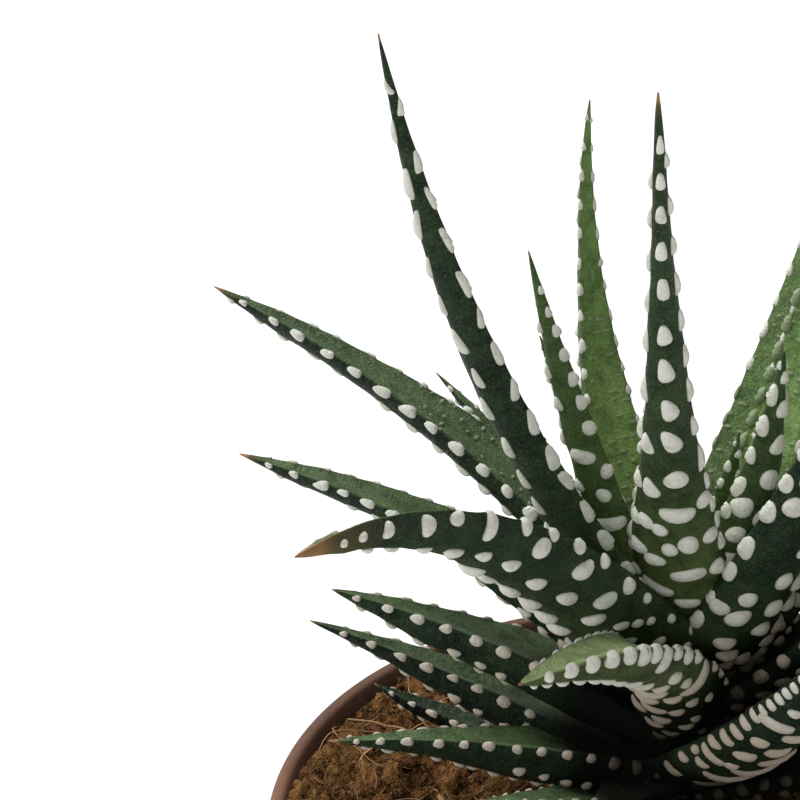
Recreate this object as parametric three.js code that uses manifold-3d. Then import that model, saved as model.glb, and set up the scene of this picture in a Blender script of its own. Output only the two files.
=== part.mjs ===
// A potted haworthia: a rosette of long pointed leaves with raised white warts, on a short
// stem that stands in the soil of a round nursery pot.
// Millimetres, Z up. The pot's flat base lies on Z = 0 and its axis is the Z axis.

import * as THREE from 'three';
import { mergeVertices } from 'three/addons/utils/BufferGeometryUtils.js';
import Module from 'manifold-3d';

const wasm = await Module();
wasm.setup();

// Pot
const POT_HEIGHT = 90;
const RIM_RADIUS = 52.5;
const COLLAR_RADIUS = 51;
const SHOULDER_RADIUS = 48.6;
const SHOULDER_HEIGHT = 70;
const COLLAR_FOOT = 72.4;
const BASE_RADIUS = 37;
const WALL = 1.5;
const FLOOR = 2;
const FOOT_BEVEL = 1;
const LIP_WIDTH = 1.6;
const LIP_HEIGHT = 2.6;
const LIP_BEVEL = 0.5;
const DRAIN_COUNT = 5;
const DRAIN_RADIUS = 3.2;
const DRAIN_CIRCLE = 24;
const POT_SEGMENTS = 48;

// Soil
const SOIL_LEVEL = 88;
const SOIL_RELIEF = 0.8;
const SOIL_HEAP = 2.2;
const SOIL_GAP = 0.3;
const SOIL_SEGMENTS = 32;
const SOIL_RINGS = 8;

// Stem, in a plain hole in the soil
const STEM_X = -2;
const STEM_Y = 6;
const STEM_FOOT = 66;
const STEM_SEGMENTS = 16;
const STEM_PROFILE = [[8, STEM_FOOT], [8, 91], [7, 105], [5, 116], [2.4, 123], [0.5, 131]];

// The clearance between a leaf and what it is fitted round
const FIT = 0.3;

// Leaves
const ROOT_RADIUS = 2;
const TIP_HALF_WIDTH = 0.32;
const TIP_THICKNESS = 0.5;
const BEND_STEPS = 24;

// The six corners of a leaf's section, in turn: middle of the upper face, right margin, back
// right, keel, back left, left margin. Each has its share of the half width and of the depth.
const CORNERS = [[0, -0.14], [1, 0], [0.62, -0.74], [0, -1], [-0.62, -0.74], [-1, 0]];
const CORE_DEPTH = 0.3;

// Warts: rows begin and end at shares of the leaf's length, and each row's foot is a short way
// before its top
const WART_PITCH = 5.5;
const WART_HEIGHT = 0.5;
const WART_FULL_WIDTH = 2.5;
const FIRST_ROW = 0.03;
const ROWS_SPAN = 0.92;
const ROW_TOP = 0.3;

// One row a leaf, from the heart of the rosette outwards: compass angle, rise at the root,
// change of rise to the tip, change of compass angle to the tip, length, width at the root,
// height of the root, how fast the leaf narrows, how far it is rolled over, and depth of the keel
// as a share of the width at the root.
const LEAVES = [
  [150, 78, 4, 0, 28, 8, 121, 1.5, 0, 0.3],
  [296, 73, 6, 0, 20.5, 8, 121, 1.5, 0, 0.3],
  [0, 74, 8, 0, 20, 9, 119, 1.5, 0, 0.3],
  [300, 64, 20, 0, 38, 14, 116, 1.6, 0, 0.3],
  [119, 43, 50, -4, 64.5, 14, 113.3, 1.9, 0, 0.3],
  [206, 66, 5, -1, 58, 14, 109, 1.4, 0, 0.3],
  [350, 60, 10, 0, 56, 14, 113, 1.6, 0, 0.3],
  [249, 61, 9, 2, 77, 15.8, 114.5, 2.4, 0, 0.3],
  [54, 58, 0, 0, 62, 14, 114, 1.6, 0, 0.3],
  [139, 57, 4, 0, 41, 11, 109, 1.4, 0, 0.3],
  [208, 49, 23, 19, 88, 13.5, 112.5, 1.5, 0, 0.3],
  [165, 47, -27, 1, 68, 16, 113.5, 1, 0, 0.3],
  [36, 66, 14, 4, 74, 15, 107, 1.6, 0, 0.3],
  [304, 64, 5, 0, 61, 17, 108, 1.4, 0, 0.3],
  [12, 48, 10, 0, 64, 15, 108, 1.5, 0, 0.3],
  [216, 53, -41, 36, 89, 17, 107, 0.95, 28, 0.3],
  [147, 53, -20, 0, 46, 11, 106.5, 1.3, 0, 0.3],
  [88, 38, 4, 0, 52, 15, 104, 1.3, 0, 0.3],
  [172, 36, -24, 2, 57, 16, 109.5, 1.05, 0, 0.3],
  [335, 44, 6, 0, 58, 16, 104, 1.4, 0, 0.3],
  [50, 42, 4, 0, 56, 15, 103, 1.4, 0, 0.3],
  [256.4, 68.5, -73, -36.3, 50.3, 13.3, 101, 0.75, 3.6, 0.56],
  [188, 45, -10, 0, 39, 13, 103, 1.3, 0, 0.3],
  [120, 38, -10, 0, 48, 14, 101, 1.3, 0, 0.3],
  [181, 29.5, -10, 11, 44.5, 18, 102, 1.1, 6, 0.4],
  [72, 32, -6, 0, 54, 15, 99, 1.3, 0, 0.3],
  [10, 34, -4, 0, 56, 16, 99, 1.3, 0, 0.3],
  [318, 40, 6, 0, 52, 16, 100, 1.4, 0, 0.3],
  [295, 37, 29, 0, 56, 20, 97, 1.4, 0, 0.3],
  [178, 30.5, -15.5, -3, 47, 17.7, 94, 1.5, 8, 0.4],
  [238, 13, -4, 0, 26, 13, 96, 1.2, 0, 0.3],
  [105, 22, -6, 0, 46, 15, 94.5, 1.2, 0, 0.3],
  [40, 22, -8, 0, 50, 16, 94, 1.2, 0, 0.3],
  [342, 20, -4, 0, 52, 16, 94, 1.2, 0, 0.3],
  [206, 25, -14, -1, 47, 17.4, 95.5, 1.6, 9, 0.4],
  [260, 15, -4, 0, 46, 16, 93, 1.2, 0, 0.3],
  [171, 1, 21, 0, 36.8, 13, 94, 1, 8, 0.33],
  [226, 19, 7, 0, 38, 11.5, 92.3, 1, 8, 0.3],
];

const material = (color, roughness, metalness = 0) =>
  new THREE.MeshStandardMaterial({ color, roughness, metalness });

const POT_PLASTIC = material(0x8a4a3a, 0.5);
const SOIL_FIBRE = material(0x6b3d22, 0.95);
const STEM_GREEN = material(0x4a5230, 0.7);
const LEAF_GREEN = material(0x2f4a2c, 0.45);

// A closed three.js geometry as a solid that can be joined and cut.
function solid(geometry) {
  geometry.deleteAttribute('normal');
  geometry.deleteAttribute('uv');
  const merged = mergeVertices(geometry, 1e-4);
  const mesh = new wasm.Mesh({
    numProp: 3,
    vertProperties: merged.attributes.position.array,
    triVerts: new Uint32Array(merged.index.array),
  });
  return new wasm.Manifold(mesh);
}

// A solid as a named mesh, kept to its largest piece.
function part(name, body, look) {
  const pieces = body.decompose().sort((a, b) => b.volume() - a.volume());
  const shape = pieces[0].getMesh();
  const geometry = new THREE.BufferGeometry();
  geometry.setAttribute('position', new THREE.BufferAttribute(shape.vertProperties, 3));
  geometry.setIndex(new THREE.BufferAttribute(shape.triVerts, 1));
  geometry.computeVertexNormals();
  const mesh = new THREE.Mesh(geometry, look);
  mesh.name = name;
  return mesh;
}

// A turned body on the Z axis from a profile of [radius, height] points that run upwards on
// the outside.
function turned(profile, segments) {
  const points = profile.map(([r, z]) => new THREE.Vector2(r, z));
  const geometry = new THREE.LatheGeometry(points, segments);
  geometry.rotateX(Math.PI / 2);
  return geometry;
}

function pillar(radius, bottom, top, x, y, segments) {
  const geometry = turned([[0, bottom], [radius, bottom], [radius, top], [0, top]], segments);
  return solid(geometry.translate(x, y, 0));
}

// The unit vector at a compass angle and a rise, both in degrees.
function heading(compass, rise) {
  const a = THREE.MathUtils.degToRad(compass);
  const e = THREE.MathUtils.degToRad(rise);
  return new THREE.Vector3(Math.cos(a) * Math.cos(e), Math.sin(a) * Math.cos(e), Math.sin(e));
}

// Half the leaf's width at u, from its root at 0 to its tip at 1: a fast taper, then a blade
// that closes at the point.
function halfWidth(leaf, u) {
  const shape = 0.77 * (1 - u) ** leaf.taper + 0.23 * (1 - u) ** 0.5;
  return Math.max(TIP_HALF_WIDTH, 0.5 * leaf.width * shape);
}

// How far the keel stands below the margins.
function keelDepth(leaf, u) {
  const root = 0.7 + 0.3 * Math.min(1, u / 0.25);
  const shape = (0.25 + 0.75 * (1 - u) ** 0.9) * root;
  const depth = leaf.width * leaf.keel * shape;
  return Math.max(TIP_THICKNESS, Math.min(depth, 1.25 * halfWidth(leaf, u)));
}

// The middle line of a leaf as a frame at each u: place, direction, right-hand side and the
// way that the upper face looks.
function frameAt(leaf, u) {
  const place = heading(leaf.compass, 0).multiplyScalar(ROOT_RADIUS);
  place.add(new THREE.Vector3(STEM_X, STEM_Y, leaf.height));
  for (let i = 0; i < BEND_STEPS; i += 1) {
    const v = (u * (i + 0.5)) / BEND_STEPS;
    const step = heading(leaf.compass + leaf.sway * v, leaf.rise + leaf.curl * v);
    place.addScaledVector(step, (leaf.length * u) / BEND_STEPS);
  }
  const compass = leaf.compass + leaf.sway * u;
  const along = heading(compass, leaf.rise + leaf.curl * u);
  const roll = THREE.MathUtils.degToRad(leaf.roll);
  const side = heading(compass - 90, 0).applyAxisAngle(along, roll);
  const up = new THREE.Vector3().crossVectors(side, along);
  return { place, side, up };
}

// Which corners carry a wart in a row: the margins in each, keel and sides of the back by
// turns.
function wartAt(corner, row) {
  if (corner === 0 || row < 0) return 0;
  if (corner === 1 || corner === 5) return 1;
  const onKeel = corner === 3;
  return (row % 2 === 0) === onKeel ? 1 : 0;
}

// A corner of the section at a level, pushed out from the leaf's core by its wart and by grow.
function cornerPoint(leaf, corner, level, grow) {
  const { place, side, up } = frameAt(leaf, level.u);
  const width = halfWidth(leaf, level.u);
  const depth = keelDepth(leaf, level.u);
  const core = -CORE_DEPTH * depth;
  const [across, down] = CORNERS[corner];
  if (corner === 0) return place.clone().addScaledVector(up, down * depth + grow);
  const wart = WART_HEIGHT * Math.min(1, width / WART_FULL_WIDTH) * wartAt(corner, level.row);
  const out = new THREE.Vector2(across * width, down * depth - core);
  out.setLength(out.length() + wart + grow);
  return place.clone().addScaledVector(side, out.x).addScaledVector(up, out.y + core);
}

// A leaf's skin from a six-sided cylinder, whose rings are moved to the given levels. The
// middles of its two end faces stay in the leaf's core.
function leafGeometry(leaf, levels, grow = 0) {
  const rings = levels.length - 1;
  const sides = CORNERS.length;
  const geometry = new THREE.CylinderGeometry(1, 1, 1, sides, rings);
  const position = geometry.attributes.position;
  const vertex = new THREE.Vector3();
  for (let i = 0; i < position.count; i += 1) {
    vertex.fromBufferAttribute(position, i);
    const level = levels[Math.round((vertex.y + 0.5) * rings)];
    const turn = Math.round((Math.atan2(vertex.x, vertex.z) * sides) / (2 * Math.PI));
    const point = cornerPoint(leaf, (turn + sides) % sides, level, grow);
    if (Math.hypot(vertex.x, vertex.z) < 0.5) {
      const { place, up } = frameAt(leaf, level.u);
      point.copy(place).addScaledVector(up, -CORE_DEPTH * keelDepth(leaf, level.u));
    }
    position.setXYZ(i, point.x, point.y, point.z);
  }
  return geometry;
}

// Two rings a row of warts: the foot, and just beyond it the top, from which the skin ramps
// down to the next foot.
function wartLevels(leaf) {
  const rows = Math.round((ROWS_SPAN * leaf.length) / WART_PITCH);
  const levels = [{ u: 0, row: -1 }];
  for (let row = 0; row < rows; row += 1) {
    levels.push({ u: FIRST_ROW + (ROWS_SPAN * row) / rows, row: -1 });
    levels.push({ u: FIRST_ROW + (ROWS_SPAN * (row + ROW_TOP)) / rows, row });
  }
  levels.push({ u: FIRST_ROW + ROWS_SPAN + 0.015, row: -1 });
  levels.push({ u: 1, row: -1 });
  return levels;
}

// Rings for a leaf without its warts, closer together where it bends more.
function plainLevels(leaf) {
  const bend = Math.abs(leaf.curl) + Math.abs(leaf.sway);
  const count = Math.ceil(leaf.length / 12 + bend / 20);
  return Array.from({ length: count + 1 }, (_, i) => ({ u: i / count, row: -1 }));
}

// The stem, or the room for it where it is grown by a clearance.
function stemSolid(grow) {
  const side = STEM_PROFILE.map(([r, z]) => [r + grow, z]);
  const [, top] = STEM_PROFILE.at(-1);
  const profile = [[0, STEM_FOOT], ...side, [0, top + grow]];
  return solid(turned(profile, STEM_SEGMENTS).translate(STEM_X, STEM_Y, 0));
}

// The soil's top: lumps that die out round the stem, where it is heaped up a little.
function soilHeight(x, y) {
  const fromStem = Math.hypot(x - STEM_X, y - STEM_Y);
  const fade = THREE.MathUtils.smoothstep(fromStem, 10, 20);
  const heap = SOIL_HEAP * (1 - THREE.MathUtils.smoothstep(fromStem, 8, 24));
  const waves =
    Math.sin(0.41 * x + 1.3) * Math.cos(0.37 * y) +
    0.7 * Math.sin(0.83 * x - 0.5 * y) +
    0.5 * Math.cos(0.29 * x + 0.91 * y + 2);
  return SOIL_LEVEL + heap + SOIL_RELIEF * fade * 0.6 * waves;
}

// The radius of the pot's inside at a height.
function innerRadius(z) {
  const shoulder = SHOULDER_RADIUS - WALL;
  const collar = COLLAR_RADIUS - WALL;
  if (z > COLLAR_FOOT) return collar;
  if (z > SHOULDER_HEIGHT) {
    return THREE.MathUtils.mapLinear(z, SHOULDER_HEIGHT, COLLAR_FOOT, shoulder, collar);
  }
  return THREE.MathUtils.mapLinear(z, 0, SHOULDER_HEIGHT, BASE_RADIUS - WALL, shoulder);
}

function makeSoil() {
  const profile = [[0, FLOOR]];
  for (const z of [FLOOR, SHOULDER_HEIGHT, COLLAR_FOOT + 0.4]) {
    profile.push([innerRadius(z) - SOIL_GAP, z]);
  }
  const edge = innerRadius(SOIL_LEVEL) - SOIL_GAP;
  for (let ring = SOIL_RINGS; ring >= 0; ring -= 1) {
    profile.push([(edge * ring) / SOIL_RINGS, SOIL_LEVEL]);
  }
  const geometry = turned(profile, SOIL_SEGMENTS);
  const position = geometry.attributes.position;
  for (let i = 0; i < position.count; i += 1) {
    const x = position.getX(i);
    const y = position.getY(i);
    if (position.getZ(i) > SOIL_LEVEL - 0.01) position.setZ(i, soilHeight(x, y));
  }
  const holeRadius = STEM_PROFILE[0][0] + FIT;
  const holeTop = SOIL_LEVEL + 2 * SOIL_HEAP;
  const hole = pillar(holeRadius, STEM_FOOT, holeTop, STEM_X, STEM_Y, STEM_SEGMENTS);
  return part('soil', solid(geometry).subtract(hole), SOIL_FIBRE);
}

function makePot() {
  const lipFoot = POT_HEIGHT - LIP_HEIGHT;
  const profile = [
    [0, 0],
    [BASE_RADIUS - FOOT_BEVEL, 0],
    [BASE_RADIUS, FOOT_BEVEL],
    [SHOULDER_RADIUS, SHOULDER_HEIGHT],
    [COLLAR_RADIUS, COLLAR_FOOT],
    [COLLAR_RADIUS, lipFoot - LIP_BEVEL],
    [RIM_RADIUS, lipFoot],
    [RIM_RADIUS, POT_HEIGHT - LIP_BEVEL],
    [RIM_RADIUS - LIP_BEVEL, POT_HEIGHT],
    [RIM_RADIUS - LIP_WIDTH, POT_HEIGHT],
    [innerRadius(POT_HEIGHT), lipFoot],
    [innerRadius(COLLAR_FOOT), COLLAR_FOOT],
    [innerRadius(SHOULDER_HEIGHT), SHOULDER_HEIGHT],
    [innerRadius(FLOOR), FLOOR],
    [0, FLOOR],
  ];
  let pot = solid(turned(profile, POT_SEGMENTS));
  for (let i = 0; i < DRAIN_COUNT; i += 1) {
    const spot = heading((360 * (i + 0.5)) / DRAIN_COUNT, 0).multiplyScalar(DRAIN_CIRCLE);
    pot = pot.subtract(pillar(DRAIN_RADIUS, -1, FLOOR + 1, spot.x, spot.y, 10));
  }
  return part('pot', pot, POT_PLASTIC);
}

// Each leaf keeps its form where it meets the leaves further out, which are hollowed to fit
// round it. All of them stop at the stem.
function makeLeaves() {
  const rosette = new THREE.Group();
  const stemRoom = stemSolid(FIT);
  const inside = [];
  LEAVES.forEach((row, i) => {
    const [compass, rise, curl, sway, length, width, height, taper, roll, keel] = row;
    const leaf = { compass, rise, curl, sway, length, width, height, taper, roll, keel };
    let body = solid(leafGeometry(leaf, wartLevels(leaf))).subtract(stemRoom);
    for (const room of inside) body = body.subtract(room);
    inside.push(solid(leafGeometry(leaf, plainLevels(leaf), WART_HEIGHT + FIT)));
    rosette.add(part(`leaf_${String(i + 1).padStart(2, '0')}`, body, LEAF_GREEN));
  });
  return rosette;
}

const plant = new THREE.Group();
plant.add(makePot());
plant.add(makeSoil());
plant.add(part('stem', stemSolid(0), STEM_GREEN));
plant.add(makeLeaves());

export default plant;
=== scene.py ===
"""A potted haworthia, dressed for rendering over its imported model.

Places are in metres in the frame of the model: the pot's flat base lies on z = 0 and its axis is
the z axis. Lengths are written in millimetres times MM.
"""

import math

import bpy
import numpy as np
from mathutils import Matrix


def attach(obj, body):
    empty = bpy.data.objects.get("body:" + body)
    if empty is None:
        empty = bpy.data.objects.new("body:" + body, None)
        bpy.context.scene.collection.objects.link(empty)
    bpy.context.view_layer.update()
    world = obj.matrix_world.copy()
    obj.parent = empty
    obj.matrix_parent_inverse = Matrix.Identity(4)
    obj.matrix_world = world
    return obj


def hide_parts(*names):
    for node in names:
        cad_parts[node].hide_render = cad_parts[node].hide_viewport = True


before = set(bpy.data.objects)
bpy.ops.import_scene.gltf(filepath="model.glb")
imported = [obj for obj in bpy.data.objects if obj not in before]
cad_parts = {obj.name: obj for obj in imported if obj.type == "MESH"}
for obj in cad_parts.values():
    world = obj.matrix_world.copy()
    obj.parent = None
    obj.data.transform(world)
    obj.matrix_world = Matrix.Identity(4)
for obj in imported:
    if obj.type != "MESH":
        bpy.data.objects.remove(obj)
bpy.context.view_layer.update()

MM = 0.001

# Camera, as the photograph was taken: looking along +Y and down
CAMERA_PLACE = (-36.36 * MM, -182.74 * MM, 220.32 * MM)
CAMERA_PITCH = 22.5
CAMERA_FIELD = 25.0

# Light: the sky's strength, and for each sun its name, the direction it comes from, its strength
# and the angle that it is spread over
SKY_LIGHT = 0.2
SUNS = [
    ("key", (-0.35, 0.55, 1.0), 3.3, 50),
    ("side", (-1.0, 0.15, 0.55), 0.9, 60),
    ("fill", (-0.6, -0.8, 0.95), 0.9, 60),
]

# Pot
POT_HEIGHT = 90 * MM
RIM_RADIUS = 52.5 * MM
COLLAR_RADIUS = 51 * MM
SHOULDER_RADIUS = 48.6 * MM
SHOULDER_HEIGHT = 70 * MM
COLLAR_FOOT = 72.4 * MM
BASE_RADIUS = 37 * MM
WALL = 1.5 * MM
FLOOR = 2 * MM
LIP_WIDTH = 1.6 * MM
LIP_HEIGHT = 2.6 * MM
DRAIN_COUNT = 5
DRAIN_RADIUS = 3.2 * MM
DRAIN_CIRCLE = 24 * MM
POT_SIDES = 224
CORNER_ROUND = 0.6 * MM
CORNER_POINTS = 4

# Soil
SOIL_LEVEL = 88 * MM
SOIL_HEAP = 2.2 * MM
SOIL_GAP = 0.3 * MM
SOIL_STEPS = 214

# Factors that toss a crumb's place and height, so that no pattern shows
CRUMB_TOSSES = [
    (127.1, 311.7, 43758.5453),
    (269.5, 183.3, 24634.6345),
    (419.2, 371.9, 13758.5453),
]

# The soil's edge in millimetres: its height in front, and how much lower it lies at the back
BANK_HEIGHT = 89.6
BANK_DROP = 1.7

# Loose coir: how near the stem and how far out it lies, how far out a fibre's end may reach, and
# how many lumps and fine, long and flat fibres there are
LOOSE_FROM_STEM = 9.5 * MM
LOOSE_RADIUS = 48.4 * MM
FIBRE_LIMIT = 48.9 * MM
CHIP_COUNT = 330
FINE_FIBRES = 1050
LONG_FIBRES = 90
FLAT_FIBRES = 34

# Stem
STEM_X = -2 * MM
STEM_Y = 6 * MM
STEM_PROFILE = [(8, 66), (8, 91), (7, 105), (5, 116), (2.4, 123), (0.5, 131)]

# Leaves
ROOT_RADIUS = 2 * MM
KEEL_SHARE = 0.3
HOLLOW_SHARE = 0.14
MARGIN_ROUND = 0.3 * MM
TIP_HALF_WIDTH = 0.11 * MM
TIP_DEPTH = 0.14 * MM
SPINE_STEPS = 240
RING_PITCH = 0.8 * MM
BACK_POINTS = 18
FACE_POINTS = 14
ARC_POINTS = 97

# Warts: the rings of a dome as shares of its size, the points round a small, a broad and a band
# wart, half the size from which one counts as broad, how many times broader than long a band is,
# how far those on a margin stand in from it as a share of half their breadth, and their greatest
# height
WART_RINGS = (0.36, 0.62, 0.82, 0.94, 1.0)
WART_POINTS = (12, 16, 28)
BROAD_WART = 0.85 * MM
BAND_SHARE = 2.2
MARGIN_SHARE = 0.35
WART_HEIGHT = 1.1 * MM

# Bumps on the upper faces: how many of the inner leaves have them, their spacing, and the share of
# the places near the root that is taken
FACED_LEAVES = 15
FACE_SPACING = 1.5 * MM
FACE_SHARE = 0.6

# One row a leaf, from the heart of the rosette outwards: compass angle, rise at the root, change
# of rise to the tip, change of compass angle to the tip, length, width at the root and height of
# the root in millimetres, and how fast the leaf narrows. Where they aren't as on most leaves, the
# row ends with how far the leaf is rolled over and the depth of its keel as a share of the width.
LEAVES = [
    (150, 78, 4, 0, 28, 8, 121, 1.5),
    (296, 73, 6, 0, 20.5, 8, 121, 1.5),
    (0, 74, 8, 0, 20, 9, 119, 1.5),
    (300, 64, 20, 0, 38, 14, 116, 1.6),
    (119, 43, 50, -4, 64.5, 14, 113.3, 1.9),
    (206, 66, 5, -1, 58, 14, 109, 1.4),
    (350, 60, 10, 0, 56, 14, 113, 1.6),
    (249, 61, 9, 2, 77, 15.8, 114.5, 2.4),
    (54, 58, 0, 0, 62, 14, 114, 1.6),
    (139, 57, 4, 0, 41, 11, 109, 1.4),
    (208, 49, 23, 19, 88, 13.5, 112.5, 1.5),
    (165, 47, -27, 1, 68, 16, 113.5, 1.0),
    (36, 66, 14, 4, 74, 15, 107, 1.6),
    (304, 64, 5, 0, 61, 17, 108, 1.4),
    (12, 48, 10, 0, 64, 15, 108, 1.5),
    (216, 53, -41, 36, 89, 17, 107, 0.95, 28, 0.3),
    (147, 53, -20, 0, 46, 11, 106.5, 1.3),
    (88, 38, 4, 0, 52, 15, 104, 1.3),
    (172, 36, -24, 2, 57, 16, 109.5, 1.05),
    (335, 44, 6, 0, 58, 16, 104, 1.4),
    (50, 42, 4, 0, 56, 15, 103, 1.4),
    (256.4, 68.5, -73, -36.3, 50.3, 13.3, 101, 0.75, 3.6, 0.56),
    (188, 45, -10, 0, 39, 13, 103, 1.3),
    (120, 38, -10, 0, 48, 14, 101, 1.3),
    (181, 29.5, -10, 11, 44.5, 18, 102, 1.1, 6, 0.4),
    (72, 32, -6, 0, 54, 15, 99, 1.3),
    (10, 34, -4, 0, 56, 16, 99, 1.3),
    (318, 40, 6, 0, 52, 16, 100, 1.4),
    (295, 37, 29, 0, 56, 20, 97, 1.4),
    (178, 30.5, -15.5, -3, 47, 17.7, 94, 1.5, 8, 0.4),
    (238, 13, -4, 0, 26, 13, 96, 1.2),
    (105, 22, -6, 0, 46, 15, 94.5, 1.2),
    (40, 22, -8, 0, 50, 16, 94, 1.2),
    (342, 20, -4, 0, 52, 16, 94, 1.2),
    (206, 25, -14, -1, 47, 17.4, 95.5, 1.6, 9, 0.4),
    (260, 15, -4, 0, 46, 16, 93, 1.2),
    (171, 1, 21, 0, 36.8, 13, 94, 1.0, 8, 0.33),
    (226, 19, 7, 0, 38, 11.5, 92.3, 1.0, 8, 0.3),
]

# The skin of each leaf, in the same order: spacing of the warts in millimetres, half their length
# and half their breadth as shares of it at mid leaf, how much farther apart their rows lie, share
# of the leaf whose warts run together into bands, how light the leaf is (partly its own tone, partly
# painted shade on leaves that lie in shade), and how much of its tip is dry
SKINS = [
    (2.6, 0.28, 0.22, 1.0, 0.1, 0.5, 0.01),
    (2.6, 0.28, 0.22, 1.0, 0.1, 1.0, 0.005),
    (2.6, 0.28, 0.22, 1.0, 0.1, 0.9, 0.005),
    (3.7, 0.34, 0.33, 1.1, 0.3, 0.8, 0.005),
    (3.4, 0.27, 0.2, 1.0, 0.12, 1.0, 0.005),
    (4.4, 0.3, 0.27, 1.1, 0.45, 1.0, 0.005),
    (3.8, 0.31, 0.22, 1.0, 0.14, 0.2, 0.02),
    (4.8, 0.32, 0.19, 1.0, 0.24, 0.25, 0.015),
    (4.0, 0.3, 0.26, 1.0, 0.3, 0.3, 0.01),
    (3.2, 0.28, 0.22, 1.0, 0.14, 0.3, 0.01),
    (4.8, 0.34, 0.135, 1.3, 0.14, 0.05, 0.004),
    (3.8, 0.29, 0.21, 1.1, 0.12, -0.65, 0.02),
    (3.8, 0.3, 0.26, 1.0, 0.14, 0.6, 0.02),
    (4.4, 0.32, 0.28, 1.0, 0.06, -0.2, 0.02),
    (3.8, 0.29, 0.24, 1.0, 0.14, 0.1, 0.02),
    (4.9, 0.31, 0.27, 1.25, 0.1, 0.0, 0.08),
    (3.0, 0.28, 0.22, 1.0, 0.14, 0.0, 0.01),
    (3.6, 0.28, 0.23, 1.0, 0.14, 0.1, 0.02),
    (3.2, 0.28, 0.22, 1.1, 0.14, -0.15, 0.02),
    (3.8, 0.28, 0.24, 1.0, 0.14, 0.0, 0.02),
    (3.6, 0.28, 0.23, 1.0, 0.14, 0.0, 0.02),
    (2.3, 0.32, 0.32, 1.5, 0.4, 1.6, 0.003),
    (3.2, 0.28, 0.22, 1.0, 0.14, -0.2, 0.02),
    (3.2, 0.28, 0.22, 1.0, 0.14, -0.1, 0.02),
    (3.7, 0.24, 0.22, 1.5, 0.1, -0.15, 0.01),
    (3.4, 0.28, 0.22, 1.0, 0.14, 0.0, 0.02),
    (3.6, 0.28, 0.22, 1.0, 0.14, -0.1, 0.02),
    (3.2, 0.29, 0.24, 1.0, 0.18, -0.2, 0.02),
    (2.5, 0.31, 0.46, 1.5, 0.35, -0.3, 0.01),
    (3.5, 0.24, 0.2, 1.5, 0.1, -0.7, 0.012),
    (3.0, 0.27, 0.22, 1.1, 0.14, -0.3, 0.02),
    (3.0, 0.27, 0.22, 1.1, 0.14, -0.1, 0.03),
    (3.2, 0.27, 0.22, 1.1, 0.14, -0.1, 0.03),
    (3.2, 0.27, 0.22, 1.1, 0.14, -0.1, 0.03),
    (3.2, 0.25, 0.22, 1.5, 0.1, -0.05, 0.025),
    (3.0, 0.27, 0.23, 1.1, 0.18, 0.0, 0.03),
    (2.8, 0.26, 0.21, 1.4, 0.14, -1.0, 0.01),
    (2.8, 0.27, 0.24, 1.1, 0.14, 0.0, 0.03),
]

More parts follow.
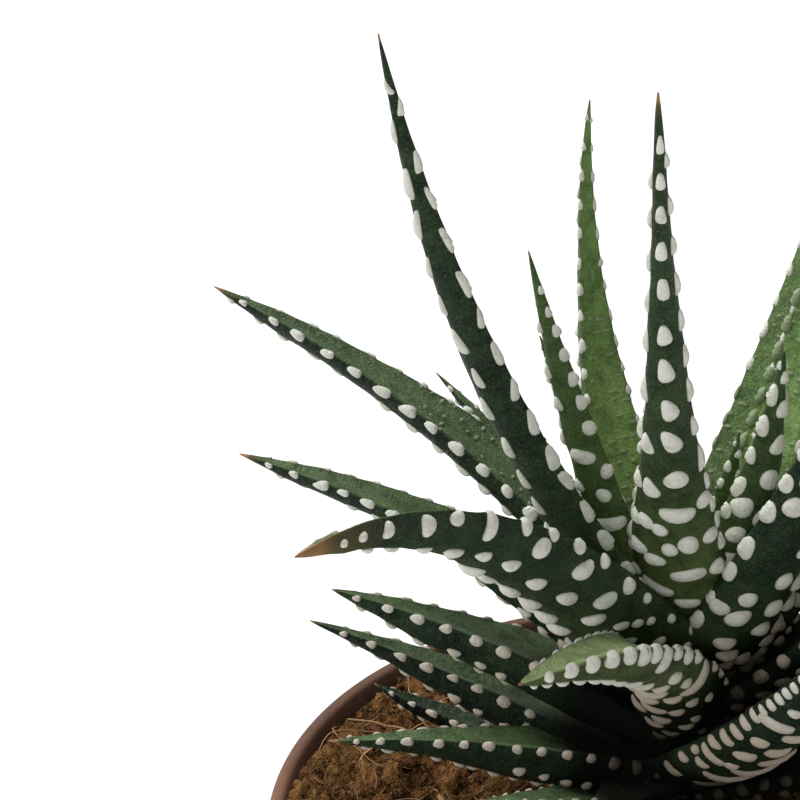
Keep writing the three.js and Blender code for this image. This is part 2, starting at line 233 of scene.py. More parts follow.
# Warts of the leaves that stand out most: place along the leaf in thousandths of its length, then
# distance from the keel, half length and half breadth in millimetres, and tilt in degrees if there
# is one. For each such leaf the span across its back that they cover comes first; the rest is
# filled by rule. A distance beyond the margin stands for the margin.
PLACED = {
    8: (-9, 9, [
        (50, -2.6, 0.68, 1.48), (60, 2.4, 0.68, 1.37), (90, -4.6, 0.91, 1.25), (100, 4.3, 0.91, 1.37),
        (130, -1.6, 0.85, 1.54, 5), (155, 1.8, 0.97, 2.17, -15), (170, 6.9, 0.91, 0.68),
        (175, 4.6, 0.91, 0.97), (180, -6.9, 1.03, 0.68), (200, -2, 0.97, 2.17, 10), (200, -5.3, 1.14, 1.14),
        (228, 1.7, 1.08, 1.37), (238, 3.8, 1.14, 1.42), (237, 6.1, 1.25, 1.03, 15), (235, -6.6, 1.25, 0.68),
        (260, -0.2, 1.03, 0.97), (270, -2.2, 1.37, 1.25, -20), (270, -4.8, 1.14, 1.14),
        (300, 0.8, 1.03, 0.97), (305, 2.4, 1.08, 1.25), (295, 4.1, 1.14, 1.08), (283, 5.9, 1.25, 0.63),
        (280, -6.3, 1.25, 0.63), (318, -5.8, 1.37, 0.57), (320, 5.4, 1.14, 0.63),
        (333, -1.2, 1.2, 1.94, -4), (343, -4.3, 1.14, 1.08), (378, 1.6, 1.26, 1.1, 25), (372, 3.7, 1.05, 1),
        (368, 5, 0.95, 0.47), (365, -5.3, 1.26, 0.53), (405, -1.2, 1.31, 1.31), (415, -4.7, 1.68, 0.63, -8),
        (420, 4.5, 0.95, 0.53), (460, 1.9, 1.37, 0.89, 10), (468, 3.6, 1.37, 0.84, 20),
        (478, -0.8, 1.58, 1, 25), (480, -3.9, 1.37, 0.63), (532, -0.7, 1.42, 0.84, 22),
        (550, 2.5, 1.68, 0.73, 8), (545, -3.5, 1.58, 0.58), (598, -0.4, 1.47, 0.82, 8),
        (632, 2.2, 1.58, 0.63), (605, -3.1, 1.58, 0.53), (655, -0.35, 1.26, 0.68, 5),
        (665, -2.7, 1.47, 0.47), (695, 1.9, 1.37, 0.53), (728, -0.3, 1.31, 0.58), (725, -2.3, 1.37, 0.47),
        (760, 1.6, 1.26, 0.47), (785, -0.2, 1.16, 0.5), (785, -1.9, 1.16, 0.42), (825, 1.35, 1.16, 0.42),
        (838, -0.2, 1.05, 0.44), (845, -1.4, 1.05, 0.37), (880, 1, 0.95, 0.35), (885, -0.2, 0.95, 0.38),
        (910, -1, 0.84, 0.32), (935, -0.2, 0.95, 0.29),
    ]),
    6: (-9, 9, [
        (60, 0, 0.7, 1.8), (120, -2.4, 0.75, 2), (120, 2.6, 0.75, 1.8), (190, -0.6, 0.8, 2.3, 5),
        (190, -5, 0.8, 0.9), (190, 4, 0.8, 1.4), (260, -3, 0.85, 1.7), (260, 1.8, 0.85, 1.8),
        (290, -5.8, 0.9, 0.6), (290, 5.8, 0.9, 0.6), (335, -1, 0.85, 2.4, -6), (360, 4, 0.9, 1.2),
        (370, -5, 0.9, 0.65), (420, -2.9, 0.95, 2, 8), (430, 1.4, 0.95, 1.2), (450, 4.6, 1, 0.6),
        (487, -3, 0.9, 0.9), (500, 0.2, 0.9, 0.9), (535, -3.9, 0.95, 0.75), (540, 3.6, 1, 0.6),
        (575, -1.6, 1, 1.5, -20), (600, 1.4, 1, 0.75), (633, -3.1, 1, 0.75), (640, 3, 1, 0.5),
        (688, -2.9, 0.95, 0.65), (690, -0.2, 0.95, 0.6), (710, 2.4, 0.9, 0.45), (738, -2.6, 0.9, 0.6),
        (760, 0.1, 0.9, 0.5), (790, -2.1, 0.85, 0.55), (790, 1.9, 0.8, 0.4), (840, -1.7, 0.8, 0.45),
        (850, 0.1, 0.7, 0.4), (880, -1.2, 0.65, 0.35), (890, 1, 0.6, 0.3), (925, -0.8, 0.55, 0.28),
    ]),
    16: (-9, 1.3, [
        (120, -7, 0.6, 0.6), (130, -3, 0.6, 0.9), (160, -5, 0.7, 0.9), (180, -7.7, 0.7, 0.6),
        (190, -2.2, 0.7, 1.1), (210, -5.9, 0.65, 0.65), (223, -4.7, 0.75, 0.8), (235, -3.2, 0.75, 1),
        (245, -7.4, 0.7, 0.65), (275, -1.4, 1.1, 1.4), (292, -6.9, 1.2, 1), (307, -4.1, 1.3, 1.5),
        (355, -1.4, 1.4, 1.2), (355, -7.2, 0.9, 0.8), (390, -5, 1.5, 1.3, 20), (415, -6.8, 1.05, 0.85),
        (427, -0.7, 1.5, 1.1), (475, -6.3, 1, 0.7), (492, -4.5, 1.45, 1.2), (510, -1.3, 1.4, 0.95),
        (535, -5.7, 1, 0.9), (575, -1, 1.3, 0.75), (610, -4.3, 1, 1.6), (633, -0.1, 1.6, 0.75),
        (685, -4, 1.2, 0.75), (698, 0.3, 1.3, 0.6), (745, -2.9, 1.4, 0.95, -25), (763, 0.9, 1.2, 0.5),
        (828, -2.2, 0.95, 0.75), (830, 0.5, 0.9, 0.4), (880, -1.7, 0.7, 0.42), (917, -1.2, 0.55, 0.33),
    ]),
    22: (-99, 99, [
        (938, -9, 0.6, 0.55), (885, -9, 0.95, 0.8), (830, -9, 1, 0.9), (775, -9, 1.1, 0.95),
        (722, -9, 1.1, 0.95), (672, -9, 1, 1.3), (630, -9, 0.95, 1.1), (588, -5.2, 0.95, 1.7),
        (545, -9, 0.85, 0.9), (495, -9, 0.9, 1.1), (445, -9, 0.8, 0.8), (385, -5.6, 0.85, 2.7),
        (333, -9, 0.6, 0.6), (278, -9, 0.5, 0.5), (223, -9, 0.45, 0.45), (155, -9, 0.4, 0.4),
        (960, 0, 0.45, 0.4), (925, -0.1, 0.65, 0.5), (880, -0.2, 0.8, 0.65), (823, -0.3, 0.85, 0.7),
        (765, -0.3, 0.9, 0.75), (710, -0.3, 0.9, 0.85), (655, -0.3, 0.9, 1), (600, -0.6, 0.85, 1.3),
        (540, -0.6, 0.75, 1.5), (500, -4, 0.95, 1), (487, -2, 0.7, 1.1), (440, -0.2, 0.75, 2),
        (435, -4.3, 0.8, 0.8), (388, -2, 0.75, 1.1), (372, 1.3, 0.7, 1.6), (325, -3.6, 0.7, 0.85),
        (310, 1, 0.65, 1.7), (305, -1.6, 0.75, 1), (285, -5.6, 0.65, 0.65), (262, 3.6, 0.7, 1.4),
        (250, 0.6, 0.7, 1.3), (235, -3.2, 0.6, 0.7), (198, -1.9, 0.55, 1), (190, 2, 0.6, 1.3),
        (150, 0.2, 0.55, 1.1), (140, -3.4, 0.5, 0.6), (110, 1.8, 0.5, 0.9), (430, 3.6, 0.8, 1.5),
        (350, 4.4, 0.7, 1.3), (520, 2.6, 0.8, 1.2),
        *[(place, 9, 0.5, 0.5) for place in range(100, 500, 50)], (500, 9, 0.55, 0.5), (550, 9, 0.65, 0.5),
        (600, 9, 0.7, 0.5), (650, 9, 0.75, 0.5), (700, 9, 0.75, 0.5), (750, 9, 0.7, 0.5),
        (800, 9, 0.65, 0.45), (850, 9, 0.6, 0.4), (900, 9, 0.5, 0.35),
    ]),
    29: (-3.5, 11, [
        (130, 1.4, 0.66, 4.1), (150, 8.4, 0.6, 1.28), (190, 0.8, 0.72, 5.5), (205, 8.9, 0.6, 0.77),
        (235, 7.2, 0.54, 1.02), (247, 0.4, 0.6, 3.97), (250, 8.8, 0.6, 0.64), (275, 6.9, 0.6, 1.92),
        (280, 4.6, 0.6, 0.96), (303, -0.6, 0.6, 2.94), (308, 7.9, 0.66, 1.02), (333, 4.3, 0.78, 1.41, 8),
        (343, 7.3, 0.6, 1.15), (367, 1.4, 0.78, 1.66), (378, 6.9, 0.6, 1.09), (398, 4.3, 0.84, 1.09, 10),
        (413, 6.8, 0.58, 1.02), (435, 0.6, 0.72, 2.18), (447, 6.5, 0.55, 0.96), (467, 4.3, 0.72, 2.43, 6),
        (475, 6.2, 0.53, 0.77), (500, 5.9, 0.53, 0.77), (505, 1.2, 0.72, 1.02), (525, 3.4, 0.66, 0.77),
        (527, 5.6, 0.53, 0.77), (552, 5.3, 0.5, 0.77), (577, 5, 0.5, 0.7), (575, 0.4, 0.72, 1.66),
        (605, 4.7, 0.5, 0.7), (600, 2.8, 0.6, 0.77), (640, 4.3, 0.5, 0.64), (650, 1, 0.72, 0.9),
        (675, 3.9, 0.5, 0.64), (700, 2.2, 0.6, 0.7), (715, 3.5, 0.5, 0.64), (740, 0.4, 0.72, 0.77),
        (755, 3, 0.5, 0.58), (800, 1.6, 0.6, 0.58), (800, 2.5, 0.5, 0.51), (840, 0.2, 0.6, 0.58),
        (880, 1.3, 0.48, 0.45),
    ]),
}

# Leaves with no warts near the root, and how much of their length is bare
BARE = {23: 0.3, 25: 0.4, 28: 0.25, 30: 0.33, 31: 1.0, 36: 0.3}

# Green swellings along the left margin of two leaves: their places along the leaf, and half their
# length and breadth in millimetres
SCALLOPS = {
    9: ((0.33, 0.38, 0.435, 0.495, 0.56, 0.63, 0.7, 0.77), 0.95, 0.4),
    13: ((0.29, 0.33, 0.37, 0.41, 0.45, 0.49, 0.53, 0.575, 0.62, 0.67, 0.72, 0.77), 1.3, 0.95),
}

# How much of the core's painted shade falls on leaves that the light reaches from the front, against 1 for
# the others
OPEN = {8: 0.3, 16: 0.8, 22: 0.6, 29: 0.3}

# The rosette's core, where shade is painted onto the leaves: its middle, measured from the stem to the
# right and forward, and the heights and radii over which the painted shade fades
CORE_RIGHT = 4 * MM
CORE_FORWARD = 6 * MM
CORE_HEIGHTS = (107 * MM, 122 * MM)
CORE_RADII = (10 * MM, 26 * MM)


def seeded(number):
    return np.random.default_rng(2600 + number)


def smoothstep(x, low, high):
    t = np.clip((x - low) / (high - low), 0, 1)
    return t * t * (3 - 2 * t)


def painted_core_shade(points):
    """How far into the rosette's core points lie, where dark shade is painted onto the leaves."""
    x, y = points[..., 0] - STEM_X - CORE_RIGHT, points[..., 1] - STEM_Y + CORE_FORWARD
    low = 1 - smoothstep(points[..., 2], *CORE_HEIGHTS)
    return low * (1 - smoothstep(np.hypot(x, y), *CORE_RADII))


def link(name, mesh, material, slot, *nodes):
    """A shown piece that rides on the body and stands for the nodes named."""
    piece = bpy.data.objects.new(name, mesh)
    bpy.context.scene.collection.objects.link(piece)
    mesh.materials.append(material)
    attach(piece, "root")
    if nodes:
        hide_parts(*nodes)
    return piece


class Pile:
    """Points, faces and point values of several closed bodies, gathered into one mesh."""

    def __init__(self, *values):
        self.points, self.quads, self.triangles = [], [], []
        self.values = {name: [] for name in values}
        self.count = 0

    def add(self, points, quads, triangles, **values):
        points = np.asarray(points, float).reshape(-1, 3)
        self.points.append(points)
        self.quads.append(np.asarray(quads, int).reshape(-1, 4) + self.count)
        self.triangles.append(np.asarray(triangles, int).reshape(-1, 3) + self.count)
        for name, held in self.values.items():
            held.append(np.broadcast_to(np.ravel(values.get(name, 0.0)), len(points)))
        self.count += len(points)

    def add_tube(self, points, around, **values):
        """Adds a tube of rings of points, in order, whose two last points close its ends."""
        low = len(points) - 2
        rings = low // around
        caps = [fan(low, 0, around), fan(low + 1, (rings - 1) * around, around, True)]
        self.add(points, ring_quads(rings, around), np.vstack(caps), **values)

    def mesh(self, name):
        faces = np.vstack(self.quads).tolist() + np.vstack(self.triangles).tolist()
        mesh = bpy.data.meshes.new(name)
        mesh.from_pydata(np.vstack(self.points), [], faces, shade_flat=False)
        for key, held in self.values.items():
            values = np.concatenate(held).astype(np.float32)
            mesh.attributes.new(key, "FLOAT", "POINT").data.foreach_set("value", values)
        mesh.validate()
        return mesh


def ring_quads(rings, around):
    """Quads of a tube of rings, in order, that face outwards where the rings run clockwise seen
    from the far end."""
    i, j = np.meshgrid(np.arange(rings - 1), np.arange(around), indexing="ij")
    k = (j + 1) % around
    return np.stack([i * around + j, (i + 1) * around + j, (i + 1) * around + k, i * around + k], -1)


def fan(centre, first, around, turned=False):
    """Triangles from a centre point to a ring."""
    j = np.arange(around)
    a, b = first + j, first + (j + 1) % around
    if turned:
        a, b = b, a
    return np.stack([np.full(around, centre), a, b], -1)


def circle(count):
    """Angles spread evenly over a full turn."""
    return np.arange(count) * 2 * math.pi / count


def heading(compass, rise):
    """Unit vectors at compass angles and rises in degrees."""
    a, e = np.radians(compass), np.radians(rise)
    return np.stack([np.cos(a) * np.cos(e), np.sin(a) * np.cos(e), np.sin(e) + 0 * a], -1)


class Leaf:
    """The form of one leaf. u runs from its root at 0 to its tip at 1. turn runs round its
    section: 0 at the left margin, 1 at the keel, 2 at the right margin and 3 in the middle of
    the upper face."""

    def __init__(self, number, form, skin):
        self.compass, self.rise, self.curl, self.sway = form[:4]
        self.length, self.width, height = (value * MM for value in form[4:7])
        roll, self.keel = form[8:] or (0, KEEL_SHARE)
        self.taper, self.roll = form[7], math.radians(roll)
        self.pitch = skin[0] * MM
        self.wart_length, self.wart_breadth, self.row_gap, self.banded, self.light, self.dry = skin[1:]
        self.shaded = OPEN.get(number, 1.0)
        self.random = seeded(number)
        self.spine_u = np.linspace(0, 1, SPINE_STEPS + 1)
        between = (self.spine_u[1:] + self.spine_u[:-1]) / 2
        steps = self.along(between) * self.length / SPINE_STEPS
        root = heading(self.compass, 0.0) * ROOT_RADIUS + (STEM_X, STEM_Y, height)
        self.spine = root + np.vstack([np.zeros(3), np.cumsum(steps, axis=0)])

    def along(self, u):
        return heading(self.compass + self.sway * u, self.rise + self.curl * u)

    def half_width(self, u):
        shape = 0.77 * (1 - u) ** self.taper + 0.23 * (1 - u) ** 0.5
        return np.maximum(TIP_HALF_WIDTH, self.width / 2 * shape)

    def keel_depth(self, u):
        root = 0.7 + 0.3 * np.minimum(1, u / 0.25)
        depth = self.width * self.keel * (0.25 + 0.75 * (1 - u) ** 0.9) * root
        return np.maximum(TIP_DEPTH, np.minimum(depth, 1.25 * self.half_width(u)))

    def skin(self, u, turn):
        """Points of the bare skin: a rounded back, round margins and a face hollowed a little."""
        u, turn = np.broadcast_arrays(u, np.mod(turn, 4))
        place = np.stack([np.interp(u, self.spine_u, self.spine[:, k]) for k in range(3)], -1)
        level = heading(self.compass + self.sway * u - 90, 0.0)
        upward = np.cross(level, self.along(u))
        side = level * math.cos(self.roll) - upward * math.sin(self.roll)
        up = upward * math.cos(self.roll) + level * math.sin(self.roll)
        width, depth = self.half_width(u), self.keel_depth(u)
        on_back = turn < 2
        angle = np.where(on_back, turn - 1, turn - 2) * math.pi / 2
        across = np.where(on_back, np.sin(angle), np.cos(angle))
        back = -depth * np.clip(np.cos(angle), 0, 1) ** 0.94
        margin = MARGIN_ROUND * np.minimum(1, width / (2 * MM))
        face = margin * np.clip(1 - np.abs(across) ** 6, 0, 1) ** 0.5
        face = face - HOLLOW_SHARE * depth * (1 - across**2) * (1.3 - 0.3 * across**2)
        height = np.where(on_back, back, face)
        return place + side * (across * width)[..., None] + up * height[..., None]

    def lifted(self, u, turn, lift):
        """Points that stand off the bare skin by lift."""
        near, wide = 0.002, 0.03
        low, high = np.maximum(u - near, 0), np.minimum(u + near, 1)
        lengthwise = self.skin(high, turn) - self.skin(low, turn)
        crosswise = self.skin(u, turn + wide) - self.skin(u, turn - wide)
        normal = np.cross(lengthwise, crosswise)
        normal /= np.maximum(np.linalg.norm(normal, axis=-1, keepdims=True), 1e-12)
        return self.skin(u, turn) + normal * np.asarray(lift)[..., None]

    def values(self, points, u):
        """What points on the leaf carry: how far along it they lie, how light the leaf is, how
        much of it is dry, and how much painted shade of the rosette's core falls on them."""
        root = 1 - smoothstep(u, 0.1, 0.2)
        deep = painted_core_shade(points) * (self.shaded + (1 - self.shaded) * root)
        return dict(reach=u, along=u * self.length, light=self.light, dry=self.dry, deep=deep)

    def arc(self, u):
        """Turns from the middle of the face round the back to the middle of the face, and the
        distance along the skin from the keel to each."""
        turns = np.linspace(-1, 3, ARC_POINTS)
        gaps = np.linalg.norm(np.diff(self.skin(u, turns), axis=0), axis=-1)
        run = np.concatenate([[0], np.cumsum(gaps)])
        return turns, run - np.interp(1, turns, run)


def back_warts(number, leaf):
    """Places and sizes of the warts on a leaf's back and margins, as rows of u, distance from
    the keel, half length, half breadth, height and tilt. They lie in lines from the margins inwards,
    each line half a spacing farther along than the one before; near the root they run together
    into bands across the leaf."""
    draw = leaf.random
    found = []
    u, step = 0.035, int(draw.integers(2))
    while u < 0.965:
        turns, run = leaf.arc(u)
        reach = np.interp(2, turns, run)
        between = int(reach / (leaf.pitch * leaf.row_gap))
        slim, base = smoothstep(u, 0.32, 0.75), 1 - smoothstep(u, 0.1, 0.4)
        small = 1 - 0.5 * smoothstep(u, 0.82, 0.97)
        half_length = leaf.pitch * leaf.wart_length * (1 - 0.28 * base) * small
        half_breadth = leaf.pitch * leaf.wart_breadth * (1 + 0.35 * base - 0.3 * slim) * small
        half_breadth = min(half_breadth, 0.42 * reach)
        in_bands = u < leaf.banded * draw.uniform(0.8, 1.2)
        if in_bands and step % (3 if leaf.banded > 0.3 else 2) == 1:
            found += band_row(leaf, u, reach, half_length)
        for line in range(1 if in_bands else between + 2):
            if (line + step) % 2:
                continue
            place = 1 - line / (between + 1)
            for side in (-1, 1) if place > 0 else (1,):
                if line and draw.random() < 0.06:
                    continue
                grow = draw.uniform(0.82, 1.15)
                away = draw.normal(0, 0.07) * leaf.pitch / leaf.length
                spot = side * place * reach
                long, broad = half_length * grow, half_breadth * grow * draw.uniform(0.9, 1.12)
                if line:
                    spot += draw.normal(0, 0.07) * leaf.pitch
                else:
                    broad = min(broad, 1.0 * MM)
                    spot -= side * MARGIN_SHARE * broad
                height = wart_height(broad) * (1 if line else 0.7)
                found.append((u + away, spot, long, broad, height))
                if line and base > 0.2 and draw.random() < 0.35:
                    away += draw.choice([-0.5, 0.5]) * long / leaf.length
                    spot += 1.45 * side * broad
                    long, broad = long * 0.85, broad * 0.85
                    found.append((u + away, spot, long, broad, wart_height(broad)))
        crowd = 0.8 + 0.2 * float(smoothstep(u, 0.05, 0.4))
        u += 0.5 * leaf.pitch * crowd / leaf.length
        step += 1
    if number in SCALLOPS:
        found = [wart for wart in found if wart[1] > -0.3 * leaf.width or wart[0] > 0.8]
    bare = BARE.get(number, 0.02)
    found = [wart + (draw.normal(0, 9),) for wart in found if bare < wart[0] < 0.975]
    if number not in PLACED:
        return found
    first, last, rows = PLACED[number]
    found = [wart for wart in found if not first * MM < wart[1] < last * MM]
    for place, spot, long, broad, *tilt in rows:
        u, long, broad = place / 1000, long * MM, broad * MM
        turns, run = leaf.arc(u)
        reach = np.interp(2, turns, run) - MARGIN_SHARE * broad
        spot = min(max(spot * MM, -reach), reach)
        height = wart_height(min(long, broad))
        found.append((u, spot, long, broad, height, tilt[0] if tilt else 0))
    return found


def band_row(leaf, u, reach, half_length):
    """One row of bands and single warts from near one margin to near the other."""
    draw = leaf.random
    found = []
    thick = min(max(half_length, 0.62 * MM), 1.0 * MM)
    place = -0.84 * reach + draw.uniform(0, 0.15) * reach
    while place < 0.8 * reach:
        spread = thick * draw.choice([1.2, 1.6, 2.6, 4.2], p=[0.3, 0.25, 0.25, 0.2])
        spread = min(spread, (0.86 * reach - place) / 2)
        if spread < 0.8 * thick:
            break
        away = draw.normal(0, 0.12) * half_length / leaf.length
        long = thick * draw.uniform(0.85, 1.1)
        found.append((u + away, place + spread, long, spread, wart_height(thick)))
        place += 2 * spread + draw.uniform(0.3, 0.9) * thick
    return found


def wart_height(half_breadth):
    return min(WART_HEIGHT, 0.24 * MM + 0.52 * half_breadth)


def face_warts(leaf):
    """The same for the small pale bumps on the upper face, which lie in short rows across it."""
    draw = leaf.random
    found = []
    u = 0.05
    while u < 0.62:
        turns, run = leaf.arc(u)
        edge, middle = np.interp(2, turns, run), np.interp(3, turns, run)
        spots = int((middle - edge) * 2 / FACE_SPACING)
        for k in range(spots):
            if draw.random() > FACE_SHARE * (1 - 0.6 * u):
                continue
            across = edge + (k + draw.uniform(0.2, 0.8)) / spots * 2 * (middle - edge)
            away = draw.normal(0, 0.18) * MM / leaf.length
            broad = draw.uniform(0.35, 0.75) * MM
            found.append((u + away, across, 0.3 * MM, broad, 0.2 * MM, 0.0))
        u += FACE_SPACING / leaf.length
    return found


def scallops(leaf, places, half_length, half_breadth):
    """The same for green swellings along the left margin."""
    found = []
    for u in places:
        turns, run = leaf.arc(u)
        spot = np.interp(0, turns, run) + 0.2 * half_breadth * MM
        found.append((u, spot, half_length * MM, half_breadth * MM, 0.8 * half_breadth * MM, 0.0))
    return found


def capped(first, rings, last):
    """The values of rings in one row, between those of the points that close their ends."""
    return np.concatenate([[first], rings.ravel(), [last]])


def add_warts(pile, leaf, warts, around, rings, whiteness):
    """Raises a closed dome for each wart, with a full outline and a rounded top, a little higher
    and broader on the side towards the leaf's root, and its underside inside the leaf."""
    if not warts:
        return
    draw = leaf.random
    angle = circle(around)
    reach = np.append(rings, 1.05)
    rise = np.append(np.clip(1 - np.asarray(rings) ** 2.0, 0, 1) ** 0.58, -0.32)
    pallor = np.clip(0.5 + 0.62 * rise, 0, 1)[:, None] * np.ones(around)
    white = whiteness * capped(1, pallor, 0.4)
    domes = []
    for u, spot, half_length, half_breadth, height, tilt in warts:
        turns, run = leaf.arc(u)
        aspect = max(half_breadth / half_length, half_length / half_breadth)
        full = 2 / min(2 + 0.7 * (aspect - 1), 3.4)
        crossways = half_breadth > half_length
        even = np.sign(np.cos(angle)) * np.abs(np.cos(angle)) ** full
        bulge = np.sign(np.sin(angle)) * np.abs(np.sin(angle)) ** full
        if crossways:
            even, bulge = -bulge, even
        waves = 1 + 0.09 * np.cos(2 * angle + draw.uniform(0, 6)) * draw.random()
        waves = waves + 0.07 * np.cos(3 * angle + draw.uniform(0, 6)) * draw.random()
        tipwards = np.outer(reach, (bulge if crossways else even) * waves)
        across = np.outer(reach, (even if crossways else bulge) * waves)
        slim = min(1.0, max(0.0, 1.15 * half_length / half_breadth - 0.9))
        across = across * (1 - 0.28 * slim * tipwards)
        lift = rise[:, None] * height * (1 - 0.25 * slim * tipwards)
        bow = draw.normal(0.1, 0.12) * (half_breadth - half_length) if aspect > 1.7 else 0
        tipwards = tipwards * half_length + across**2 * bow * crossways
        across = across * half_breadth
        cosine, sine = math.cos(math.radians(tilt)), math.sin(math.radians(tilt))
        round_u = u + (tipwards * cosine - across * sine) / leaf.length
        round_run = spot + tipwards * sine + across * cosine
        run_here = capped(spot, round_run, spot)
        span = run[-1] - run[0]
        cycles = np.floor((run_here - run[0]) / span)
        turn_here = np.interp(run_here - cycles * span, run, turns) + cycles * 4
        lift_here = capped(height, lift, -0.5 * height)
        domes.append([capped(u, round_u, u), turn_here, lift_here, white, run_here])
    u, turn, lift, white, run = np.concatenate(domes, axis=1)
    u = np.clip(u, 0, 0.999)
    points = leaf.lifted(u, turn, lift)
    each = around * len(reach) + 2
    tube = ring_quads(len(reach), around) + 1
    caps = np.vstack([fan(0, 1, around), fan(each - 1, each - 1 - around, around, True)])
    starts = (np.arange(len(warts)) * each)[:, None, None]
    pile.add(
        points,
        tube.reshape(-1, 4)[None] + starts,
        caps[None] + starts,
        wart=white,
        upper=np.mod(turn, 4) > 2,
        across=run,
        **leaf.values(points, u),
    )


def add_blade(pile, leaf, warts):
    """The leaf's body, whose skin swells softly under each wart and undulates a little."""
    u = 1 - (1 - np.linspace(0, 1, int(leaf.length / RING_PITCH))) ** 1.08
    back = np.linspace(0, 2, BACK_POINTS, endpoint=False)
    turns = np.append(back, np.linspace(2, 4, FACE_POINTS, endpoint=False))
    grid_u, grid_turn = np.meshgrid(u, turns, indexing="ij")
    phase = leaf.random.uniform(0, 6.28, 6)
    short_wave, long_wave = (grid_u * leaf.length / wave for wave in (1.3 * MM, 4.1 * MM))
    lift = 0.035 * MM * np.sin(short_wave + 2 * np.sin(2.1 * grid_turn + phase[0]) + phase[1])
    lift += 0.05 * MM * np.sin(long_wave + phase[2]) * np.cos(3.1 * grid_turn + phase[3])
    runs = np.empty_like(grid_u)
    for i, here in enumerate(u):
        fine, run = leaf.arc(here)
        runs[i] = np.interp(np.where(turns > 3, turns - 4, turns), fine, run)
    for at, spot, half_length, half_breadth, height, _ in warts:
        rows = np.abs(u - at) * leaf.length < 3 * half_length
        far = ((grid_u[rows] - at) * leaf.length / (1.35 * half_length)) ** 2
        far = far + ((runs[rows] - spot) / (1.35 * half_breadth)) ** 2
        lift[rows] += 0.3 * height * np.exp(-far)
    lift *= np.minimum(1, leaf.half_width(grid_u) / (1.5 * MM))
    points = leaf.lifted(grid_u, grid_turn, lift).reshape(-1, 3)
    root = leaf.spine[0] - heading(0.0, 90.0) * 0.3 * leaf.keel_depth(0.0)
    tip = leaf.spine[-1] + leaf.along(1.0) * 0.25 * MM
    points = np.vstack([points, root, tip])
    face = np.where(grid_turn > 2, np.minimum(1, 2.5 * np.minimum(grid_turn - 2, 4 - grid_turn)), 0)
    reach = np.append(grid_u.ravel(), [0, 1])
    pile.add_tube(
        points,
        len(turns),
        upper=np.append(face.ravel(), [0, 0]),
        across=np.append(runs.ravel(), [0, 0]),
        **leaf.values(points, reach),
    )


def make_leaf(number, form, skin, material):
    leaf = Leaf(number, form, skin)
    pile = Pile("wart", "reach", "upper", "along", "across", "light", "dry", "deep")
    warts = back_warts(number, leaf)
    add_blade(pile, leaf, warts)
    kinds = [
        2 if wart[3] > BAND_SHARE * wart[2] else int(max(wart[2:4]) > BROAD_WART) for wart in warts
    ]
    for kind, around in enumerate(WART_POINTS):
        chosen = [wart for wart, own in zip(warts, kinds) if own == kind]
        add_warts(pile, leaf, chosen, around, WART_RINGS, 1.0)
    if number in SCALLOPS:
        add_warts(pile, leaf, scallops(leaf, *SCALLOPS[number]), 16, WART_RINGS, 0.4)
    if number <= FACED_LEAVES:
        add_warts(pile, leaf, face_warts(leaf), 8, (0.6, 1.0), 0.3)
    name = f"leaf_{number:02d}"
    link(f"blade_{number:02d}", pile.mesh(name), material, "leaf_skin", name)


# Materials


class Nodes:
    """A material's node tree, written as calls."""

    def __init__(self, name):
        self.material = bpy.data.materials.new(name)
        self.material.use_nodes = True
        self.tree = self.material.node_tree
        self.shader = self.tree.nodes["Principled BSDF"]
        self.places = self.make("ShaderNodeTexCoord").outputs["Object"]

    def fill(self, node, inputs):
        """Links or sets a node's inputs, by their names or numbers."""
        for key, value in inputs.items():
            if isinstance(value, bpy.types.NodeSocket):
                self.tree.links.new(value, node.inputs[key])
            else:
                node.inputs[key].default_value = value

    def make(self, kind, inputs=None, **settings):
        node = self.tree.nodes.new(kind)
        for key, value in settings.items():
            setattr(node, key, value)
        self.fill(node, inputs or {})
        return node

    def attribute(self, name):
        return self.make("ShaderNodeAttribute", attribute_name=name).outputs["Fac"]

    def noise(self, scale, detail=4.0, roughness=0.55, places=None, distortion=0.0):
        names = ("Vector", "Scale", "Detail", "Roughness", "Distortion")
        values = (places or self.places, scale, detail, roughness, distortion)
        return self.make("ShaderNodeTexNoise", dict(zip(names, values))).outputs["Fac"]

    def cells(self, scale):
        inputs = {"Vector": self.places, "Scale": scale}
        return self.make("ShaderNodeTexVoronoi", inputs).outputs["Distance"]

    def axis(self, index):
        """One coordinate of each place."""
        return self.make("ShaderNodeSeparateXYZ", {0: self.places}).outputs[index]

    def stretched(self, along, across, first, second):
        """Places on a skin, scaled along it and across it."""
        inputs = {0: self.times(along, first), 1: self.times(across, second)}
        return self.make("ShaderNodeCombineXYZ", inputs).outputs[0]

    def ramp(self, value, low, high, first=0.0, last=1.0):
        names = ("Value", "From Min", "From Max", "To Min", "To Max")
        inputs = dict(zip(names, (value, low, high, first, last)))
        node = self.make("ShaderNodeMapRange", inputs, interpolation_type="SMOOTHSTEP")
        return node.outputs["Result"]

    def sum(self, a, b, kind="ADD"):
        return self.make("ShaderNodeMath", {0: a, 1: b}, operation=kind).outputs[0]

    def times(self, a, b):
        return self.sum(a, b, "MULTIPLY")

    def mix(self, share, a, b, kind="MIX"):
        a, b = ((*tint, 1) if isinstance(tint, tuple) else tint for tint in (a, b))
        settings = {"data_type": "RGBA", "blend_type": kind, "clamp_factor": True}
        return self.make("ShaderNodeMix", {0: share, 6: a, 7: b}, **settings).outputs[2]

    def bump(self, height, distance, strength=1.0, normal=None):
        inputs = {"Height": height, "Distance": distance, "Strength": strength}
        if normal:
            inputs["Normal"] = normal
        return self.make("ShaderNodeBump", inputs).outputs["Normal"]

    def finish(self, colour, roughness, normal, shine=0.5):
        names = ("Base Color", "Roughness", "Normal", "Specular IOR Level")
        self.fill(self.shader, dict(zip(names, (colour, roughness, normal, shine))))
        return self.material


